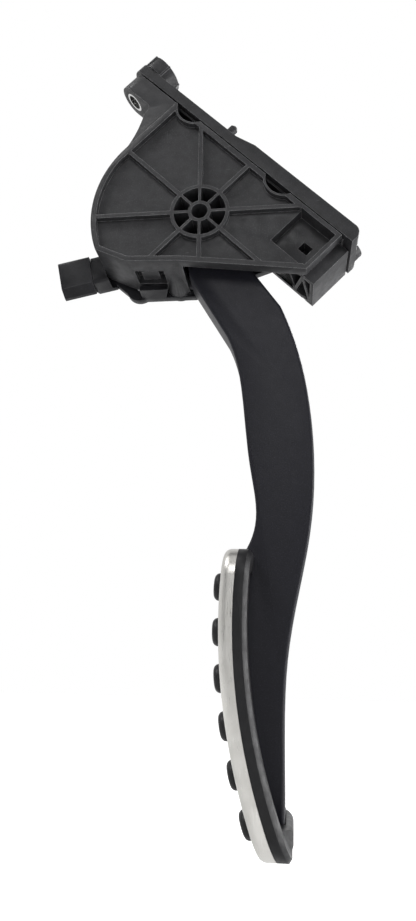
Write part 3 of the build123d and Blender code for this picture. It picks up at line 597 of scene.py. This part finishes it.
# %% [markdown]
# ## Screws
# Five screws hold the cover and three hold the base: thread-forming screws with a round washer head and a
# six-lobe recess. The CAD keeps them as plain pins. One screw is modelled, and a Geometry Nodes tree sets
# a copy on every place, read from the CAD screws themselves, so the screws stay right when the frame
# changes.

# %% [markdown]
# ### One screw
# A stack of rings gives the shank with its thread ridges and the washer head. The recess is cut into the
# head's top by a ring with six lobes that steps down to a floor, which keeps the mesh small and closed.

# %% Screw shape
ring_points = 36
lobe_count = 6
thread_pitch = 1.1 * mm


def ring(shape, radius, height, lobe=0.0):
    """Ring of vertices about the Z axis, with lobes that stand out by that much."""
    points = []
    for i in range(ring_points):
        turn = 2 * math.pi * i / ring_points
        reach = radius + lobe * math.cos(lobe_count * turn)
        points.append(shape.verts.new((reach * math.cos(turn), reach * math.sin(turn), height)))
    return points


def bridge(shape, lower, upper):
    """Band of faces between two rings."""
    for i in range(ring_points):
        j = (i + 1) % ring_points
        shape.faces.new((lower[i], lower[j], upper[j], upper[i]))


def thread_outline(shank, head_high, length):
    """Radius and height of each ring from the tip to the head's underside."""
    core, point = 0.80 * shank, 0.2 * shank
    outline = [(point, -length)]
    height = -length + thread_pitch
    while height < -head_high - thread_pitch:
        outline += [(core, height), (shank, height + 0.45 * thread_pitch)]
        height += thread_pitch
    return [*outline, (core, -head_high)]


def screw_mesh(shank, head, head_high, length):
    """Screw along Z with its head's top at zero."""
    shape = bmesh.new()
    outline = thread_outline(shank, head_high, length)
    outline += [(0.97 * head, -head_high), (head, -0.85 * head_high), (head, -0.60 * head_high),
                (0.80 * head, -0.18 * head_high), (0.72 * head, 0.0)]
    rings = [ring(shape, radius, height) for radius, height in outline]
    recess, lobe, taper = 0.5 * head, 0.09 * head, 0.94
    rings.append(ring(shape, recess, 0.0, lobe))
    rings.append(ring(shape, taper * recess, -0.75 * head_high, taper * lobe))
    for lower, upper in zip(rings, rings[1:]):
        bridge(shape, lower, upper)
    shape.faces.new(list(reversed(rings[0])))
    shape.faces.new(rings[-1])
    bmesh.ops.recalc_face_normals(shape, faces=shape.faces)
    mesh = bpy.data.meshes.new("screw")
    shape.to_mesh(mesh)
    shape.free()
    return mesh


# %% [markdown]
# ### Where the screws are
# The CAD screws of one set share a mesh, and each is an island of it. Walking from vertex to vertex along
# the edges finds the islands, and the end of each along the screws' axis is the middle of its head's top.


# %% Screw places
def islands(shape):
    """Sets of vertices that hang together."""
    left = set(shape.verts)
    found = []
    while left:
        island = set()
        reached = {left.pop()}
        while reached:
            vert = reached.pop()
            island.add(vert)
            reached |= {edge.other_vert(vert) for edge in vert.link_edges} - island
        left -= island
        found.append(island)
    return found


def screw_places(node, axis):
    """Top of each screw of a CAD node, and the screws' length along the axis."""
    shape = bmesh.new()
    shape.from_mesh(nodes[node].data)
    bmesh.ops.remove_doubles(shape, verts=shape.verts, dist=merge_gap)
    tops = []
    long = 0.0
    for island in islands(shape):
        along = [vert.co.dot(axis) for vert in island]
        sides = list(zip(*[vert.co for vert in island]))
        middle = Vector([(min(side) + max(side)) / 2 for side in sides])
        tops.append(middle + axis * (max(along) - middle.dot(axis)))
        long = max(long, max(along) - min(along))
    shape.free()
    return sorted(tops, key=tuple), long


# %% [markdown]
# ### Setting screws with Geometry Nodes
# Eight objects could be placed by hand, but a tree that instances one screw on a mesh of points can be
# reused for any pattern. Its inputs are the screw, the turn that lays it along its axis, and its finish.
# It ends in Realize Instances and Set Material, because an export keeps only real meshes.


# %% Screw tree
def screw_tree():
    """Tree that sets a screw on every point of a mesh."""
    tree = bpy.data.node_groups.new("screws_on_points", "GeometryNodeTree")
    inputs = {"Geometry": "Geometry", "Screw": "Object", "Turn": "Vector", "Finish": "Material"}
    for name, kind in inputs.items():
        tree.interface.new_socket(name, in_out="INPUT", socket_type=f"NodeSocket{kind}")
    tree.interface.new_socket("Geometry", in_out="OUTPUT", socket_type="NodeSocketGeometry")
    inside = tree.nodes.new("NodeGroupInput")
    outside = tree.nodes.new("NodeGroupOutput")
    points = tree.nodes.new("GeometryNodeMeshToPoints")
    source = tree.nodes.new("GeometryNodeObjectInfo")
    turn = tree.nodes.new("FunctionNodeEulerToRotation")
    copies = tree.nodes.new("GeometryNodeInstanceOnPoints")
    real = tree.nodes.new("GeometryNodeRealizeInstances")
    paint = tree.nodes.new("GeometryNodeSetMaterial")
    link = tree.links.new
    link(inside.outputs["Geometry"], points.inputs["Mesh"])
    link(inside.outputs["Screw"], source.inputs["Object"])
    link(inside.outputs["Turn"], turn.inputs["Euler"])
    link(points.outputs["Points"], copies.inputs["Points"])
    link(source.outputs["Geometry"], copies.inputs["Instance"])
    link(turn.outputs["Rotation"], copies.inputs["Rotation"])
    link(copies.outputs["Instances"], real.inputs["Geometry"])
    link(real.outputs["Geometry"], paint.inputs["Geometry"])
    link(inside.outputs["Finish"], paint.inputs["Material"])
    link(paint.outputs["Geometry"], outside.inputs["Geometry"])
    return tree


# %% [markdown]
# ### Dressed screws
# The modifier's inputs are set by their identifiers before anything is evaluated. The result is turned
# into a plain mesh and the modifier is removed, so that the piece is ready for the export.

# %% Set the screws
screw_shank, screw_head, screw_head_high = 1.4 * mm, 3.0 * mm, 2.0 * mm
out_of_cover = Vector((0, 1, 0))


def baked(obj):
    """Plain mesh of an evaluated object; its modifiers are removed."""
    view = bpy.context.evaluated_depsgraph_get()
    mesh = bpy.data.meshes.new_from_object(obj.evaluated_get(view))
    obj.modifiers.clear()
    obj.data = mesh
    return mesh


def set_screws(node, axis):
    """Dressed screws in place of a CAD node's plain ones."""
    tops, long = screw_places(node, axis)
    seed = new_object(f"{node}_pattern", screw_mesh(screw_shank, screw_head, screw_head_high, long))
    points = bpy.data.meshes.new(f"{node}_places")
    points.from_pydata(tops, [], [])
    piece = new_object(f"{node}_dressed", points)
    modifier = piece.modifiers.new("screws", "NODES")
    modifier.node_group = screw_tree()
    turn = Vector((0, 0, 1)).rotation_difference(axis).to_euler()
    values = {"Screw": seed, "Turn": tuple(turn), "Finish": finishes["screw_steel"]}
    for item in modifier.node_group.interface.items_tree:
        if item.in_out == "INPUT" and item.name in values:
            modifier[item.identifier] = values[item.name]
    mesh = baked(piece)
    bpy.data.objects.remove(seed)
    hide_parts(node)
    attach(piece, body_of_node[node])
    print(piece.name, len(tops), "screws,", len(mesh.polygons), "faces")


set_screws("cover_screws", out_of_cover)
set_screws("base_screws", base_out)

# %% [markdown]
# ## Background
# The pedal is shown as a catalogue shows it: hung in front of white, over a pale floor. The world is
# white to the camera and dimmer as a light, so that the black plastic keeps its depth. Reflections see
# the white backdrop behind the pedal and the darker room on the near side, which gives steel its bands
# and black its depth.

# %% World
world_light = 0.25
room_white, paper_white = 0.28, 0.90
room_side, paper_side = -0.75, 0.0


def ray_kinds(tree):
    """1 for rays from the camera, and 1 for reflected or refracted rays."""
    path = add_node(tree, "ShaderNodeLightPath")
    mirrored = combine(tree, "MAXIMUM", path.outputs["Is Glossy Ray"], path.outputs["Is Transmission Ray"])
    return path.outputs["Is Camera Ray"], mirrored


def backdrop(tree, mirrored):
    """Share of white in a reflection: paper behind, the room on the near side; 1 for other rays."""
    place = add_node(tree, "ShaderNodeTexCoord")
    split = add_node(tree, "ShaderNodeSeparateXYZ")
    tree.links.new(place.outputs["Generated"], split.inputs["Vector"])
    either = add_node(tree, "ShaderNodeMix", data_type="FLOAT")
    tree.links.new(mirrored, either.inputs["Factor"])
    either.inputs["A"].default_value = 1.0
    share = spread(tree, split.outputs["Y"], room_white, paper_white, room_side, paper_side)
    tree.links.new(share, either.inputs["B"])
    return either.outputs["Result"]


scene = bpy.context.scene
scene.view_settings.view_transform = "Standard"
scene.world = bpy.data.worlds.new("studio")
scene.world.use_nodes = True
studio = scene.world.node_tree
sky = studio.nodes["Background"]
sky.inputs["Color"].default_value = (1, 1, 1, 1)
sky_seen, sky_mirrored = ray_kinds(studio)
white = spread(studio, combine(studio, "MAXIMUM", sky_seen, sky_mirrored), world_light, 1.0, 0.0, 1.0)
level = combine(studio, "MULTIPLY", white, backdrop(studio, sky_mirrored))
studio.links.new(level, sky.inputs["Strength"])
print("world light", world_light)

# %% [markdown]
# ## Floor
# The floor lies well below the pad. It glows a little to the camera, more so far away, and so runs into
# the white background without an edge. Its glow in reflections is a painted reflection: nil near the pedal
# and strong far away, so the steel mirrors a dark patch near the pedal, which gives the pad its outline.

# %% Floor paint
floor_grey, floor_rough = 0.9, 0.9
camera_glow, camera_glow_from = (0.62, 0.80), (0.6, 1.8)
steel_glow, steel_glow_from = (0.0, 0.85), (0.55, 1.2)
floor_tree, floor_shader = new_material("floor")
floor_shader.inputs["Base Color"].default_value = (floor_grey, floor_grey, floor_grey, 1)
floor_shader.inputs["Roughness"].default_value = floor_rough
floor_shader.inputs["Emission Color"].default_value = (1, 1, 1, 1)
floor_place = add_node(floor_tree, "ShaderNodeTexCoord")
far = add_node(floor_tree, "ShaderNodeVectorMath", operation="LENGTH")
floor_tree.links.new(floor_place.outputs["Object"], far.inputs[0])
floor_seen, floor_mirrored = ray_kinds(floor_tree)
near_to_far = far.outputs["Value"]
to_camera = spread(floor_tree, near_to_far, *camera_glow, *camera_glow_from)
# Painted reflection: the glow that reflections see is nil near the pedal, which puts a dark patch on the
# steel.
to_steel = spread(floor_tree, near_to_far, *steel_glow, *steel_glow_from)
to_camera = combine(floor_tree, "MULTIPLY", floor_seen, to_camera)
to_steel = combine(floor_tree, "MULTIPLY", floor_mirrored, to_steel)
glow = combine(floor_tree, "ADD", to_camera, to_steel)
floor_tree.links.new(glow, floor_shader.inputs["Emission Strength"])
print("floor paint", len(floor_tree.nodes), "nodes")

# %% [markdown]
# ### Clear from below
# A floor hides the pedal's underside from a camera below it, and blocks a lamp there. Backfacing is 1 on
# the floor's lower side, so it can switch the paint to a clear shader for everything that comes from
# below.

# %% Floor
floor_gap = 140 * mm
floor_half = 3.0
floor_z = cad_box[0][2] - floor_gap
below = add_node(floor_tree, "ShaderNodeNewGeometry")
clear = add_node(floor_tree, "ShaderNodeBsdfTransparent")
either_side = add_node(floor_tree, "ShaderNodeMixShader")
floor_tree.links.new(below.outputs["Backfacing"], either_side.inputs[0])
floor_tree.links.new(floor_shader.outputs["BSDF"], either_side.inputs[1])
floor_tree.links.new(clear.outputs["BSDF"], either_side.inputs[2])
floor_surface = floor_tree.nodes["Material Output"].inputs["Surface"]
floor_tree.links.new(either_side.outputs["Shader"], floor_surface)
floor_corners = [(x * floor_half, y * floor_half, floor_z) for x, y in ((-1, -1), (1, -1), (1, 1), (-1, 1))]
floor_mesh = bpy.data.meshes.new("floor")
floor_mesh.from_pydata(floor_corners, [], [(0, 1, 2, 3)])
floor_mesh.materials.append(finishes["floor"])
floor = new_object("floor", floor_mesh)
print("floor at", round(floor_z, 3))

# %% [markdown]
# ## Lamps
# Five square area lamps stand round the pedal. A large soft lamp hides black plastic's form, and a bare
# bulb burns spots into steel, so these are of middling size. The key from the upper left models the rims
# and ribs, and the front one fills them. The low one at the left shines up through the clear floor and
# draws the arm's edge, the right one draws its other side, and the last lights the back. Each row below
# gives a lamp's place from the pedal's middle and its width in metres, and its power in watts.

# %% Lamps
middle = Vector([(low + high) / 2 for low, high in zip(*cad_box)])
lamps = {
    "key": ((-0.70, -0.50, 0.95), 0.40, 8),
    "front top": ((0.10, -1.1, 0.50), 0.40, 4),
    "low left": ((-0.64, -0.35, -0.51), 0.40, 9),
    "right": ((0.95, -0.05, 0.05), 0.45, 9),
    "behind": ((0.75, 0.95, 0.75), 0.50, 10),
}
for name, (offset, size, power) in lamps.items():
    lamp = bpy.data.lights.new(name, "AREA")
    lamp.shape = "SQUARE"
    lamp.size = size
    lamp.energy = power
    holder = new_object(name, lamp)
    holder.location = middle + Vector(offset)
    holder.rotation_euler = (-Vector(offset)).to_track_quat("-Z", "Y").to_euler()
print("lamps", len(lamps), "of", sum(power for offset, size, power in lamps.values()), "W in all")

# %% [markdown]
# ## Camera
# The photograph was taken from slightly below and close by, so the base's far side leans away. The
# camera's place and axes were found by matching the pivot, the rims and the pad, and its lens by the
# frame's height.

# %% Camera
camera_place = Vector((60.768, -278.0, -257.435)) * mm
camera_right = Vector((0.9931, 0.1161, 0.0150)).normalized()
rough_up = Vector((0.0150, -0.2528, 0.9674))
camera_back = camera_right.cross(rough_up).normalized()
camera_up = camera_back.cross(camera_right)
lens = bpy.data.cameras.new("camera")
lens.lens = 28.14
lens.sensor_width = 36
lens.clip_start = 10 * mm
camera = new_object("camera", lens)
camera_turn = Matrix((camera_right, camera_up, camera_back)).transposed().to_4x4()
camera.matrix_world = Matrix.Translation(camera_place) @ camera_turn
scene.camera = camera
print("camera", round((camera_place - middle).length, 3), "m from the middle")
